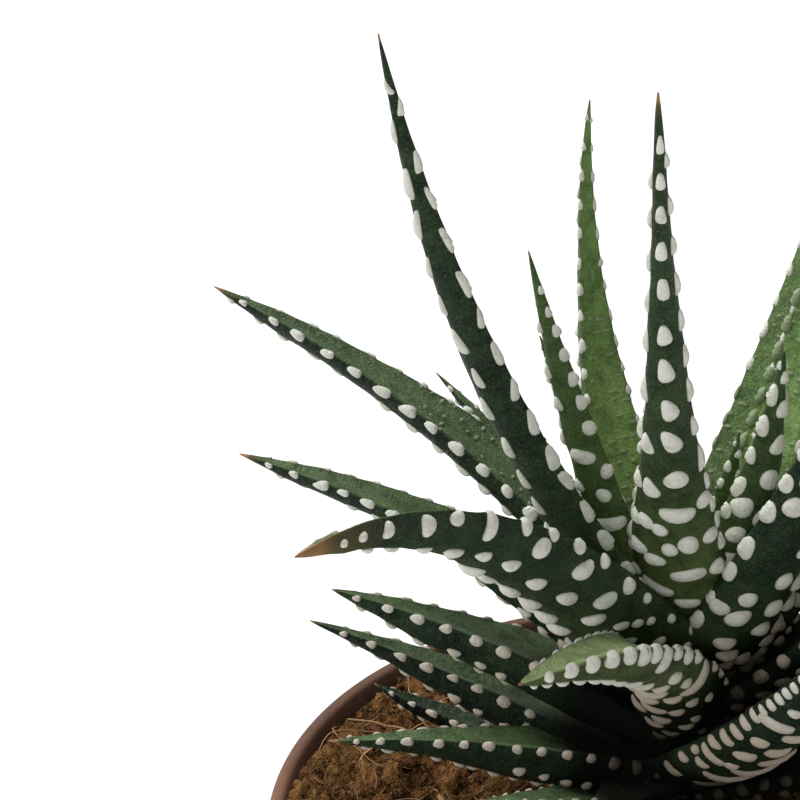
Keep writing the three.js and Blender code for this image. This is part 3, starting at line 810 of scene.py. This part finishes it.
def leaf_material():
    """Dark green skin with fine pale granules, olive towards the root and on the upper face,
    tan at the very tip, lighter or darker by leaf as its own tone and, for leaves in shade, as
    painted shade; off-white warts with a grey-green foot and faint stains, beige lower down as
    painted light reflected from the soil; in the rosette's core, painted shade turns the warts
    beige and then near black and the skin near black."""
    n = Nodes("leaf_skin")
    wart, reach = n.attribute("wart"), n.attribute("reach")
    upper, light = n.attribute("upper"), n.attribute("light")
    patches = n.noise(140, 3)
    blotches = n.noise(420, 4, 0.6)
    surface = n.stretched(n.attribute("along"), n.attribute("across"), 1.0, 0.45)
    ridges = n.noise(1500, 3, 0.6, surface)
    granules = n.cells(2900)
    grain = n.noise(5200, 2, 0.6)

    dark, moss = (0.013, 0.028, 0.017), (0.056, 0.092, 0.03)
    shade, lush = (0.1, 0.15, 0.072), (0.185, 0.31, 0.095)
    olive = (0.165, 0.215, 0.06)
    # A leaf's light value makes it lighter or darker: partly its own tone, partly painted shade where the
    # leaf lies in shade.
    lightness = n.sum(n.ramp(light, -0.4, 1.0), n.ramp(patches, 0.35, 0.7, -0.12, 0.18))
    back = n.mix(n.times(lightness, 0.85), dark, moss)
    back = n.mix(n.ramp(reach, 0.5, 0.0, 0.0, 0.8), back, moss)
    back = n.mix(n.ramp(light, 0.75, 1.0, 0.0, 0.5), back, (0.105, 0.17, 0.055))
    face = n.mix(lightness, shade, lush)
    bright = n.times(n.ramp(reach, 0.75, 0.25), n.ramp(light, 0.2, 0.9))
    face = n.mix(bright, face, (0.29, 0.43, 0.135))
    face = n.mix(n.ramp(reach, 0.45, 0.05, 0.0, 0.4), face, (0.095, 0.105, 0.05))
    pallid = n.mix(n.ramp(reach, 0.25, 0.6), (0.05, 0.066, 0.034), (0.42, 0.52, 0.245))
    face = n.mix(n.ramp(light, 1.0, 1.6), face, pallid)
    lit = n.times(n.ramp(light, 1.0, 1.6), n.ramp(reach, 0.3, 0.6))
    back = n.mix(lit, back, (0.085, 0.108, 0.046))
    skin = n.mix(upper, back, face)
    # The darkest-set leaves, which lie in shade, are darkened further: painted shade.
    skin = n.mix(n.ramp(light, -0.5, -1.0), skin, n.mix(1.0, skin, (0.15, 0.19, 0.19), "MULTIPLY"))
    glow = n.times(n.ramp(reach, 0.5, 0.06), n.ramp(light, -0.1, 0.6))
    tall = n.times(n.ramp(light, 1.0, 1.3, 0.95, 0.0), n.ramp(upper, 0.0, 1.0, 1.0, 0.0))
    skin = n.mix(n.times(glow, tall), skin, olive)
    pale = n.mix(0.3, skin, (0.34, 0.42, 0.24))
    sunk = n.mix(1.0, skin, (0.36, 0.4, 0.36), "MULTIPLY")
    skin = n.mix(n.ramp(blotches, 0.42, 0.66, 0.0, 0.75), skin, sunk)
    skin = n.mix(n.ramp(grain, 0.52, 0.4, 0.0, 0.55), skin, sunk)
    flecks = n.times(n.ramp(granules, 0.45, 0.2), n.ramp(grain, 0.38, 0.58))
    skin = n.mix(n.times(flecks, n.ramp(upper, 0.0, 1.0, 0.32, 0.8)), skin, pale)
    lines = n.times(n.ramp(ridges, 0.5, 0.68), n.ramp(upper, 0.0, 1.0, 0.12, 0.6))
    skin = n.mix(lines, skin, n.mix(0.35, skin, (0.24, 0.3, 0.15)))

    left = n.sum(n.sum(1.0, reach, "SUBTRACT"), n.ramp(patches, 0.3, 0.7, -0.006, 0.006))
    share = n.sum(left, n.attribute("dry"), "DIVIDE")
    skin = n.mix(n.ramp(share, 2.4, 0.9, 0.0, 0.75), skin, (0.105, 0.085, 0.035))
    skin = n.mix(n.ramp(share, 1.0, 0.4), skin, (0.3, 0.165, 0.075))

    stains = n.noise(800, 3, 0.6)
    white = n.mix(n.ramp(stains, 0.45, 0.75, 0.0, 0.6), (0.68, 0.68, 0.61), (0.44, 0.42, 0.34))
    white = n.mix(n.ramp(wart, 0.8, 0.5), white, (0.25, 0.3, 0.19))
    # Warts lower on the plant turn beige: painted warm light reflected from the soil.
    white = n.mix(n.ramp(n.axis(2), 128 * MM, 104 * MM, 0.0, 0.75), white, (0.47, 0.4, 0.31))
    # Painted shade of the rosette's core: there the warts turn beige and then near black, the skin near
    # black, and both rougher.
    deep = n.attribute("deep")
    white = n.mix(n.ramp(deep, 0.0, 0.4, 0.0, 0.8), white, (0.46, 0.38, 0.29))
    white = n.mix(n.ramp(deep, 0.3, 0.9), white, (0.055, 0.045, 0.032))
    skin = n.mix(n.ramp(deep, 0.0, 0.6, 0.0, 0.95), skin, (0.003, 0.004, 0.003))
    colour = n.mix(n.ramp(wart, 0.06, 0.45), skin, white)

    roughness = n.sum(n.ramp(granules, 0.2, 0.6, 0.42, 0.55), n.ramp(deep, 0.0, 0.6, 0.0, 0.4))
    fine = n.bump(n.sum(granules, n.times(grain, 0.6), "SUBTRACT"), 0.1 * MM, 0.8)
    coarse = n.bump(n.sum(ridges, blotches), 0.22 * MM, 0.7, fine)
    return n.finish(colour, roughness, coarse, 0.1)


def stem_material():
    n = Nodes("stem_skin")
    patches, fine = n.noise(260, 4), n.noise(2400, 3)
    # Near black: the stem's dark brown, darkened further as painted shade of the rosette's core.
    colour = n.mix(n.ramp(patches, 0.35, 0.65), (0.004, 0.004, 0.002), (0.012, 0.008, 0.004))
    return n.finish(colour, 0.9, n.bump(fine, 0.12 * MM, 0.7), 0.05)


def strand(n, scale, thickness, shift):
    """Thin winding lines, as of fibres pressed into a surface: 1 on a line, 0 beside it."""
    inputs = {0: n.places, 1: (shift, 0.3 * shift, 0.7 * shift)}
    moved = n.make("ShaderNodeVectorMath", inputs, operation="ADD")
    field = n.noise(scale, 1.5, 0.5, moved.outputs[0], 1.2)
    return n.ramp(n.sum(n.sum(field, 0.5, "SUBTRACT"), 0.0, "ABSOLUTE"), thickness, 0.0)


def coir_material():
    """Damp red-brown coir with painted shade in its crevices and gaps, rusty crumbs, golden lint."""
    n = Nodes("coir")
    crumbs, lumps = n.noise(1100, 6, 0.75), n.noise(150, 4, 0.6)
    high = n.attribute("high")
    # Low places between crumbs near black: painted shade in the crevices.
    colour = n.mix(n.ramp(crumbs, 0.4, 0.62), (0.01, 0.003, 0.001), (0.25, 0.104, 0.033))
    colour = n.mix(n.ramp(lumps, 0.46, 0.62, 0.0, 0.6), colour, (0.5, 0.255, 0.085))
    colour = n.mix(n.ramp(lumps, 0.48, 0.36, 0.0, 0.6), colour, (0.04, 0.018, 0.009))
    # Places low in their crumb darker: painted shade in the crevices; the bed's walls dark, and chips
    # darker or lighter at random.
    colour = n.mix(n.ramp(high, 0.42, 0.06, 0.0, 0.95), colour, (0.005, 0.002, 0.001))
    lint = n.noise(1000, 3, 0.6, distortion=4.0)
    colour = n.mix(n.ramp(lint, 0.56, 0.66, 0.0, 0.5), colour, (0.5, 0.27, 0.095))
    strands = n.sum(strand(n, 260, 0.022, 0.0), strand(n, 430, 0.03, 7.0), "MAXIMUM")
    colour = n.mix(n.times(strands, 0.8), colour, (0.46, 0.235, 0.085))
    # Thin winding gaps near black: painted shade.
    gaps = n.times(strand(n, 330, 0.05, 13.0), n.ramp(crumbs, 0.52, 0.44))
    colour = n.mix(n.times(gaps, 0.85), colour, (0.01, 0.004, 0.002))
    rough = n.bump(n.sum(n.sum(crumbs, lint), n.times(strands, 0.5)), 1.2 * MM, 1.0)
    return n.finish(colour, 0.9, rough, 0.1)


def fibre_material():
    """Coir fibre, from dark rust to straw by piece."""
    n = Nodes("coir_fibre")
    shade, fine = n.attribute("shade"), n.noise(1800, 3, 0.6)
    colour = n.mix(n.ramp(shade, 0.0, 0.6), (0.055, 0.02, 0.008), (0.2, 0.09, 0.028))
    colour = n.mix(n.ramp(shade, 0.55, 1.0), colour, (0.42, 0.245, 0.095))
    colour = n.mix(n.ramp(fine, 0.4, 0.7, 0.0, 0.4), colour, (0.045, 0.02, 0.009))
    return n.finish(colour, 0.7, n.bump(fine, 0.08 * MM, 0.6), 0.35)


def pot_material():
    """Matt moulded plastic, pinkish brown, dusty and a little scuffed at the lip, which also carries
    painted light, and painted shade on its far side; stained by soil inside, up to the lip on the
    far side, there partly as painted shade."""
    n = Nodes("pot_plastic")
    broad, fine = n.noise(38, 4, 0.6), n.noise(3600, 2, 0.6)
    scuffs = n.noise(420, 4, 0.7)
    inner = n.attribute("inner")
    colour = n.mix(n.ramp(broad, 0.35, 0.65), (0.12, 0.055, 0.035), (0.16, 0.075, 0.05))
    edge = n.attribute("edge")
    # The lip's top and outer edge lighter in patches: dust and wear, and painted light.
    worn_and_lit = n.times(edge, n.ramp(scuffs, 0.35, 0.65, 0.55, 0.9))
    colour = n.mix(worn_and_lit, colour, (0.3, 0.138, 0.07))
    # The far part of the lip darker: painted shade.
    far = n.times(edge, n.ramp(n.axis(1), -20 * MM, 25 * MM, 0.0, 0.75))
    colour = n.mix(far, colour, (0.045, 0.022, 0.014))
    # Dark soil stain on the inner wall; where it reaches the lip on the far side it is partly painted
    # shade.
    soiled_and_shaded = n.times(inner, n.ramp(scuffs, 0.35, 0.6, 0.7, 1.0))
    colour = n.mix(soiled_and_shaded, colour, (0.045, 0.024, 0.014))
    colour = n.mix(n.ramp(scuffs, 0.66, 0.76, 0.0, 0.25), colour, (0.26, 0.18, 0.14))
    rough = n.ramp(broad, 0.3, 0.7, 0.5, 0.62)
    grain = n.bump(n.sum(fine, n.times(scuffs, 0.5)), 0.05 * MM, 0.35)
    return n.finish(colour, rough, grain, 0.25)


def floor_material():
    n = Nodes("floor")
    return n.finish((0.9, 0.9, 0.9, 1), 0.8, n.bump(n.noise(60, 2), 0.1 * MM, 0.2))


# Pot, stem and soil


def inner_radius(z):
    """The radius of the pot's inside at a height."""
    shoulder, collar = SHOULDER_RADIUS - WALL, COLLAR_RADIUS - WALL
    if z > SHOULDER_HEIGHT:
        return float(np.interp(z, [SHOULDER_HEIGHT, COLLAR_FOOT], [shoulder, collar]))
    return BASE_RADIUS - WALL + (shoulder - BASE_RADIUS + WALL) * z / SHOULDER_HEIGHT


def rounded(outline, radius):
    """A closed outline whose corners are rounded by curves that start at most a radius away."""
    points = np.array(outline, float)
    done = []
    for i, corner in enumerate(points):
        before, after = points[i - 1] - corner, points[(i + 1) % len(points)] - corner
        reach = min(radius, 0.45 * np.linalg.norm(before), 0.45 * np.linalg.norm(after))
        start = corner + before / np.linalg.norm(before) * reach
        end = corner + after / np.linalg.norm(after) * reach
        for t in np.linspace(0, 1, CORNER_POINTS):
            done.append((1 - t) ** 2 * start + 2 * t * (1 - t) * corner + t**2 * end)
    return np.array(done)


def make_pot(material):
    lip_foot = POT_HEIGHT - LIP_HEIGHT
    drain = DRAIN_CIRCLE - 2 * DRAIN_RADIUS
    outline = [
        (BASE_RADIUS - 1 * MM, 0),
        (BASE_RADIUS, 1 * MM),
        (SHOULDER_RADIUS, SHOULDER_HEIGHT),
        (COLLAR_RADIUS, COLLAR_FOOT),
        (COLLAR_RADIUS, lip_foot - 0.5 * MM),
        (RIM_RADIUS, lip_foot),
        (RIM_RADIUS, POT_HEIGHT),
        (RIM_RADIUS - LIP_WIDTH, POT_HEIGHT),
        (inner_radius(POT_HEIGHT), lip_foot),
        (inner_radius(COLLAR_FOOT), COLLAR_FOOT),
        (inner_radius(SHOULDER_HEIGHT), SHOULDER_HEIGHT),
        (inner_radius(FLOOR), FLOOR),
    ]
    around = POT_SIDES
    profile = rounded(outline, CORNER_ROUND)
    profile = np.vstack([[drain, 0], profile, [drain, FLOOR]])
    angles = circle(around)
    warp = 1 + 0.0012 * np.sin(2 * angles + 0.7) + 0.0005 * np.sin(5 * angles)
    radius = profile[:, :1] * warp
    points = np.stack(
        [radius * np.cos(angles), radius * np.sin(angles), profile[:, 1:] + 0 * radius], -1
    ).reshape(-1, 3)
    rings = len(profile)
    low, high = len(points), len(points) + 1
    points = np.vstack([points, [0, 0, 0], [0, 0, FLOOR]])
    height = points[:, 2]
    far = np.hypot(points[:, 0], points[:, 1])
    inner = 1 - smoothstep(far, RIM_RADIUS - LIP_WIDTH - 0.25 * MM, RIM_RADIUS - LIP_WIDTH + 0.3 * MM)
    # On the far side the inner stain reaches up to the lip: there it is partly painted shade.
    farther = smoothstep(points[:, 1], -10 * MM, 25 * MM)
    inner = inner * (height > COLLAR_FOOT + 6 * MM)
    inner = inner * (1 - (1 - 0.8 * farther) * smoothstep(height, 88.6 * MM, 89.7 * MM))
    inner[(far < 50 * MM) & (np.arange(len(far)) > rings // 2 * around)] = 1
    edge = smoothstep(height, lip_foot - 0.4 * MM, POT_HEIGHT)
    edge = edge * smoothstep(far, RIM_RADIUS - 1.9 * MM, RIM_RADIUS - 1.1 * MM)
    pile = Pile("inner", "edge")
    quads = ring_quads(rings, around).reshape(-1, 4)[:, ::-1]
    caps = np.vstack([fan(low, 0, around, True), fan(high, (rings - 1) * around, around)])
    pile.add(points, quads, caps, inner=inner, edge=edge)
    pot = link("pot_shell", pile.mesh("pot_shell"), material, "pot_plastic", "pot")
    for k in range(DRAIN_COUNT):
        drill_floor(pot, 2 * math.pi * (k + 0.5) / DRAIN_COUNT)


def drill_floor(pot, angle):
    """A drain hole through the pot's floor."""
    place = (DRAIN_CIRCLE * math.cos(angle), DRAIN_CIRCLE * math.sin(angle), FLOOR / 2)
    bpy.ops.mesh.primitive_cylinder_add(
        vertices=32, radius=DRAIN_RADIUS, depth=3 * FLOOR, location=place
    )
    drill = bpy.context.object
    cut = pot.modifiers.new("drain", "BOOLEAN")
    cut.object, cut.operation, cut.solver = drill, "DIFFERENCE", "EXACT"
    with bpy.context.temp_override(object=pot, active_object=pot, selected_objects=[pot]):
        bpy.ops.object.modifier_apply(modifier=cut.name)
    bpy.data.objects.remove(drill)


def make_stem(material):
    draw = seeded(90)
    profile = np.array(STEM_PROFILE) * MM
    around = 48
    z = np.linspace(profile[0, 1], profile[-1, 1], 130)
    radius = np.interp(z, profile[:, 1], profile[:, 0])
    angles = -circle(around)
    grid = radius[:, None] * np.ones(around)
    scars = 0.35 * MM * np.sin(z[:, None] / (1.1 * MM) + 1.5 * np.sin(3 * angles) + draw.uniform(0, 6))
    grid = grid + scars * np.minimum(1, grid / (3 * MM))
    points = np.stack(
        [STEM_X + grid * np.cos(angles), STEM_Y + grid * np.sin(angles), z[:, None] + 0 * grid], -1
    ).reshape(-1, 3)
    points = np.vstack([points, [STEM_X, STEM_Y, z[0]], [STEM_X, STEM_Y, z[-1] + 0.3 * MM]])
    pile = Pile()
    pile.add_tube(points, around)
    link("stem_core", pile.mesh("stem_core"), material, "stem_skin", "stem")


def crumbs(x, y, size, seed):
    """Lumps of about a size, packed at random: near 1 on top of a lump, 0 in the cracks between."""
    cell_x, cell_y = np.floor(x / size), np.floor(y / size)
    nearest, second = np.full(x.shape, 9.0), np.full(x.shape, 9.0)
    tall = np.zeros(x.shape)
    for i in (-1, 0, 1):
        for j in (-1, 0, 1):
            cx, cy = cell_x + i, cell_y + j
            right, back, up = (
                np.sin(cx * a + cy * b + seed) * scale % 1 for a, b, scale in CRUMB_TOSSES
            )
            far = np.hypot(x - (cx + right) * size, y - (cy + back) * size) / size
            tall = np.where(far < nearest, 0.35 + 0.65 * up, tall)
            second = np.minimum(second, np.maximum(far, nearest))
            nearest = np.minimum(nearest, far)
    return tall * smoothstep(second - nearest, 0.0, 0.35) * np.clip(1.15 - nearest**2, 0, 1)


def soil_height(x, y):
    """The height of the soil's crumbly top, and how high a place stands in its crumb."""
    from_stem = np.hypot(x - STEM_X, y - STEM_Y)
    heap = SOIL_HEAP * (1 - smoothstep(from_stem, 8 * MM, 24 * MM))
    waves = np.sin(410 * x + 1.3) * np.cos(370 * y) + 0.7 * np.sin(830 * x - 500 * y)
    bent_x = x + 0.5 * MM * np.sin(y / (0.9 * MM)) + 0.3 * MM * np.sin(y / (0.41 * MM) + 2)
    bent_y = y + 0.5 * MM * np.sin(x / (0.8 * MM)) + 0.3 * MM * np.sin(x / (0.37 * MM) + 1)
    coarse = crumbs(bent_x, bent_y, 4.8 * MM, 1.0)
    middle = crumbs(bent_x, y, 2.4 * MM, 2.0)
    small = crumbs(x, bent_y, 1.25 * MM, 3.0)
    rough = 1.4 * coarse + 1.1 * middle + 0.75 * small
    near_rim = smoothstep(np.hypot(x, y), 36 * MM, 49 * MM)
    banked = 0.4 + 1.2 * (1 - smoothstep(y, 0 * MM, 26 * MM))
    level = SOIL_LEVEL - 1.2 * MM + heap + (0.4 * waves + banked * near_rim) * MM
    return level + 1.25 * rough * MM, rough / 2.6


def make_soil(material):
    steps = SOIL_STEPS
    a, b = np.meshgrid(np.linspace(-1, 1, steps), np.linspace(-1, 1, steps), indexing="ij")
    wide = np.abs(a) > np.abs(b)
    r = np.where(wide, a, b)
    with np.errstate(divide="ignore", invalid="ignore"):
        phi = np.where(wide, math.pi / 4 * b / a, math.pi / 2 - math.pi / 4 * a / b)
    phi = np.nan_to_num(phi)
    spread = np.where(wide, np.sign(a), np.sign(b)) * np.sin(phi)
    bank = (BANK_HEIGHT - BANK_DROP * smoothstep(spread, 0.0, 0.5)) * MM
    slope = (RIM_RADIUS - LIP_WIDTH - inner_radius(COLLAR_FOOT)) / LIP_HEIGHT
    edge = inner_radius(COLLAR_FOOT) + slope * (bank - POT_HEIGHT + LIP_HEIGHT) - 0.15 * MM
    x, y = edge * r * np.cos(phi), edge * r * np.sin(phi)
    z, rough = soil_height(x, y)
    rim = smoothstep(np.hypot(x, y), edge - 1.6 * MM, edge)
    z = z * (1 - rim) + np.clip(z, bank - 0.4 * MM, bank + 0.3 * MM) * rim
    index = np.arange(steps * steps).reshape(steps, steps)
    top = np.stack([index[:-1, :-1], index[1:, :-1], index[1:, 1:], index[:-1, 1:]], -1)
    outline = np.concatenate(
        [index[:-1, 0], index[-1, :-1], index[:0:-1, -1], index[0, :0:-1]]
    )
    points = np.stack([x, y, z], -1).reshape(-1, 3)
    rim_points = points[outline]
    walls = [outline]
    for height in (POT_HEIGHT - LIP_HEIGHT - 0.4 * MM, COLLAR_FOOT + 0.4 * MM, SHOULDER_HEIGHT, FLOOR):
        scale = (inner_radius(height) - SOIL_GAP) / np.hypot(rim_points[:, :1], rim_points[:, 1:2])
        ring = rim_points * np.hstack([scale, scale, 0 * scale]) + (0, 0, height)
        walls.append(len(points) + np.arange(len(outline)))
        points = np.vstack([points, ring])
    walls = np.array(walls)
    after = np.roll(walls, -1, axis=1)
    sides = np.stack([walls[:-1], walls[1:], after[1:], after[:-1]], -1)
    centre = len(points)
    points = np.vstack([points, [0, 0, FLOOR]])
    bottom = np.stack([np.full(len(outline), centre), after[-1], walls[-1]], -1)
    high = np.concatenate([rough.ravel(), np.full(len(points) - steps * steps, 0.3)])
    pile = Pile("high")
    pile.add(points, np.vstack([top.reshape(-1, 4), sides.reshape(-1, 4)]), bottom, high=high)
    link("soil_bed", pile.mesh("soil_bed"), material, "coir", "soil")


def on_soil(draw, count):
    """Places spread evenly over the soil, clear of the stem."""
    spots = []
    while len(spots) < count:
        x, y = draw.uniform(-LOOSE_RADIUS, LOOSE_RADIUS, 2)
        from_stem = np.hypot(x - STEM_X, y - STEM_Y)
        if np.hypot(x, y) < LOOSE_RADIUS and from_stem > LOOSE_FROM_STEM:
            spots.append((x, y))
    return np.array(spots)


def make_chips(material):
    """Loose lumps of coir, part sunk in the bed."""
    draw = seeded(200)
    bpy.ops.mesh.primitive_ico_sphere_add(subdivisions=2, radius=1)
    ball = bpy.context.object
    shape = np.array([v.co for v in ball.data.vertices])
    faces = np.array([tuple(p.vertices) for p in ball.data.polygons])
    bpy.data.objects.remove(ball)
    pile = Pile("high")
    for x, y in on_soil(draw, CHIP_COUNT):
        size = draw.uniform(0.7, 2.3) * MM
        squash = np.array([draw.uniform(0.8, 1.5), draw.uniform(0.6, 1.0), draw.uniform(0.35, 0.7)])
        phase = draw.uniform(0, 6.28, 4)
        lumps = 1 + 0.16 * np.sin(4 * shape[:, 0] + phase[0]) + 0.16 * np.sin(5 * shape[:, 1] + phase[1])
        lumps = lumps + 0.1 * np.sin(9 * shape[:, 2] + 7 * shape[:, 0] + phase[2])
        turn, tilt = draw.uniform(0, 6.28), draw.normal(0, 0.35)
        cosine, sine = math.cos(turn), math.sin(turn)
        spin = np.array([[cosine, -sine, 0], [sine, cosine, 0], [0, 0, 1]])
        cosine, sine = math.cos(tilt), math.sin(tilt)
        lean = np.array([[1, 0, 0], [0, cosine, -sine], [0, sine, cosine]])
        points = (shape * lumps[:, None] * squash * size) @ (spin @ lean).T
        level, _ = soil_height(np.array(x), np.array(y))
        points = points + (x, y, float(level) - 0.25 * size)
        pile.add(points, [], faces, high=draw.uniform(0.25, 1.0))
    link("coir_chips", pile.mesh("coir_chips"), material, "coir")


def add_fibre(pile, draw, x, y, length, radius, shade, flat=1.0, arch=0.0):
    """A thin bent fibre that lies along the soil, tapered to both ends."""
    steps, around = max(8, int(length / (1.1 * MM))), 5
    turn = draw.uniform(0, 6.28)
    bend = draw.normal(0, 0.6)
    t = np.linspace(-0.5, 0.5, steps)
    course = turn + bend * t + 0.14 * np.sin(9 * t + draw.uniform(0, 6))
    px = x + np.cumsum(np.cos(course)) * length / steps
    py = y + np.cumsum(np.sin(course)) * length / steps
    px, py = px - px.mean() + x, py - py.mean() + y
    far = np.hypot(px, py)
    inside = np.minimum(1, FIBRE_LIMIT / far)
    px, py = px * inside, py * inside
    level, _ = soil_height(px, py)
    kernel = np.ones(5) / 5
    smooth = np.convolve(np.pad(level, 2, mode="edge"), kernel, mode="valid")
    lift = arch * np.clip(1 - (2 * t) ** 2, 0, 1) + draw.uniform(-0.1, 0.35) * MM
    pz = np.maximum(smooth + lift, level - 0.1 * MM)
    line = np.stack([px, py, pz], -1)
    tangent = np.gradient(line, axis=0)
    tangent /= np.linalg.norm(tangent, axis=1, keepdims=True)
    side = np.cross(tangent, (0, 0, 1.0))
    side /= np.linalg.norm(side, axis=1, keepdims=True)
    up = np.cross(side, tangent)
    angle = circle(around)
    thick = radius * np.clip(1.15 - np.abs(2 * t) ** 3, 0.15, 1)[:, None]
    points = line[:, None] + side[:, None] * (thick * flat * np.cos(angle))[..., None]
    points = points + up[:, None] * (thick * np.sin(angle))[..., None]
    points = np.vstack([points.reshape(-1, 3), line[0], line[-1]])
    pile.add_tube(points, around, shade=shade)


def make_fibres(material):
    draw = seeded(300)
    pile = Pile("shade")
    for x, y in on_soil(draw, FINE_FIBRES):
        length, radius = draw.uniform(2.5, 9) * MM, draw.uniform(0.05, 0.11) * MM
        add_fibre(pile, draw, x, y, length, radius, draw.uniform(0, 1.0))
    for x, y in on_soil(draw, LONG_FIBRES):
        length, radius = draw.uniform(8, 20) * MM, draw.uniform(0.08, 0.15) * MM
        arch = draw.uniform(0, 1.8) * MM
        add_fibre(pile, draw, x, y, length, radius, draw.uniform(0.6, 1), 1.3, arch)
    for x, y in on_soil(draw, FLAT_FIBRES):
        length, radius = draw.uniform(4, 8) * MM, draw.uniform(0.12, 0.22) * MM
        add_fibre(pile, draw, x, y, length, radius, draw.uniform(0.4, 0.9), 3.0)
    link("coir_fibres", pile.mesh("coir_fibres"), material, "coir")


# Room


def make_room():
    bpy.ops.mesh.primitive_circle_add(vertices=96, radius=6, fill_type="NGON")
    floor = bpy.context.object
    floor.name = "floor"
    floor.data.materials.append(floor_material())

    world = bpy.data.worlds.new("studio")
    bpy.context.scene.world = world
    world.use_nodes = True
    sky = world.node_tree.nodes["Background"].inputs
    sky["Color"].default_value = (1, 1, 1, 1)
    sky["Strength"].default_value = SKY_LIGHT
    for sun in SUNS:
        add_sun(*sun)

    lens = bpy.data.cameras.new("camera")
    lens.sensor_width = 36
    lens.lens = 18 / math.tan(math.radians(CAMERA_FIELD / 2))
    lens.clip_start, lens.clip_end = 0.01, 20
    camera = bpy.data.objects.new("camera", lens)
    camera.location = CAMERA_PLACE
    camera.rotation_euler = (math.radians(90 - CAMERA_PITCH), 0, 0)
    bpy.context.scene.collection.objects.link(camera)
    bpy.context.scene.camera = camera


def add_sun(name, place, strength, spread):
    """Even soft light that comes from a place's direction, spread over an angle in degrees."""
    data = bpy.data.lights.new(name, "SUN")
    data.energy, data.angle = strength, math.radians(spread)
    sun = bpy.data.objects.new(name, data)
    sun.location = place
    x, y, z = place
    sun.rotation_euler = (math.atan2(math.hypot(x, y), z), 0, math.atan2(x, -y))
    bpy.context.scene.collection.objects.link(sun)


def main():
    make_room()
    make_pot(pot_material())
    make_stem(stem_material())
    coir, fibre, skin = coir_material(), fibre_material(), leaf_material()
    make_soil(coir)
    make_chips(coir)
    make_fibres(fibre)
    for number, (form, cover) in enumerate(zip(LEAVES, SKINS), start=1):
        make_leaf(number, form, cover, skin)
    bpy.context.scene.view_settings.view_transform = "Standard"


main()
